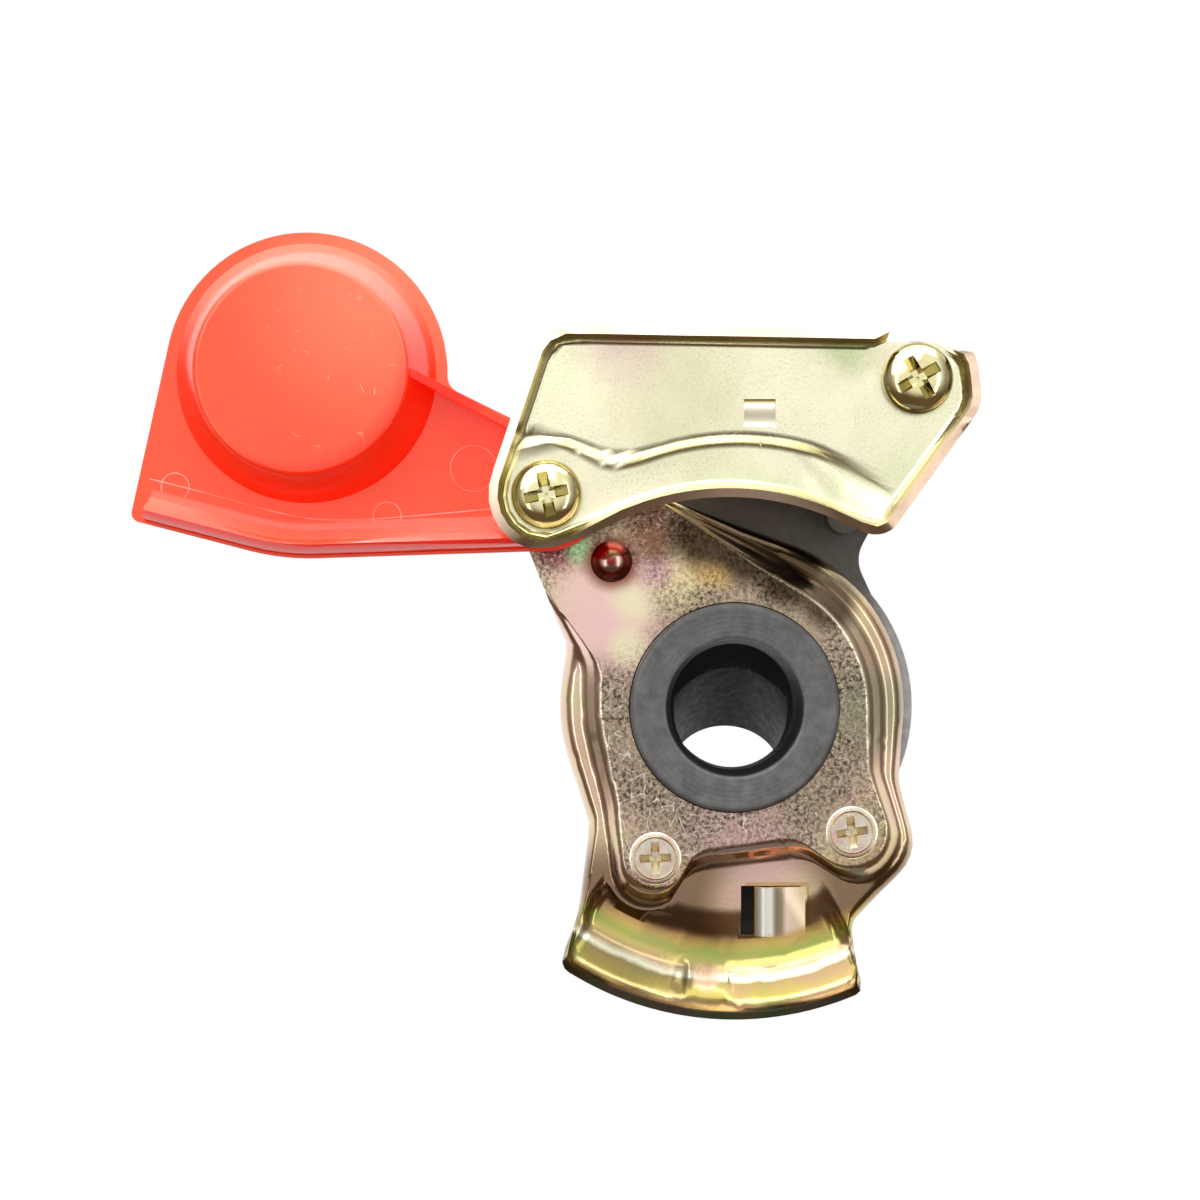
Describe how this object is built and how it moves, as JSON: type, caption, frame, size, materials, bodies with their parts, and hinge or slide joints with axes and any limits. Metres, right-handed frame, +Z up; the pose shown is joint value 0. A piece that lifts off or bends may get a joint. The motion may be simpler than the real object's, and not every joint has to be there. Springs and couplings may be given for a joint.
{
  "type": "gladhand air brake coupler",
  "caption": "Palm coupling head for a vehicle air brake line: cast body, pressed face and guide plates, rubber face seal and a swinging red dust cover.",
  "frame": {"origin": "centre of the air bore at the seal's front face", "axes": "-Y out of the seal face towards the mating coupling, +X to the right seen from the front, +Z up towards the guide plate"},
  "size_m": [0.1441, 0.0596, 0.1359],
  "materials": {
    "cast_body": "die-cast aluminium, dull",
    "zinc_front": "pressed steel, yellow zinc with a pink and gold sheen",
    "zinc_guide": "pressed steel, pale yellow zinc",
    "seal_rubber": "black moulded rubber",
    "red_plastic": "glossy red moulded plastic",
    "zinc_screws": "turned steel, bright yellow zinc"
  },
  "bodies": {
    "coupling_head": {"body": "cast_body", "front_plate": "zinc_front", "guide_plate": "zinc_guide", "seal_ring": "seal_rubber", "pivot_sleeve": "zinc_screws", "pivot_screw": "zinc_screws", "guide_screw": "zinc_screws", "face_screws": "zinc_screws"},
    "cover": {"cover_flap": "red_plastic"}
  },
  "joints": [
    {"name": "cover_swing", "type": "hinge", "parent": "coupling_head", "child": "cover", "pos_m": [-0.03227, 0, 0.03634], "axis": [0, -1, 0], "range_deg": [0, 158.7]}
  ]
}
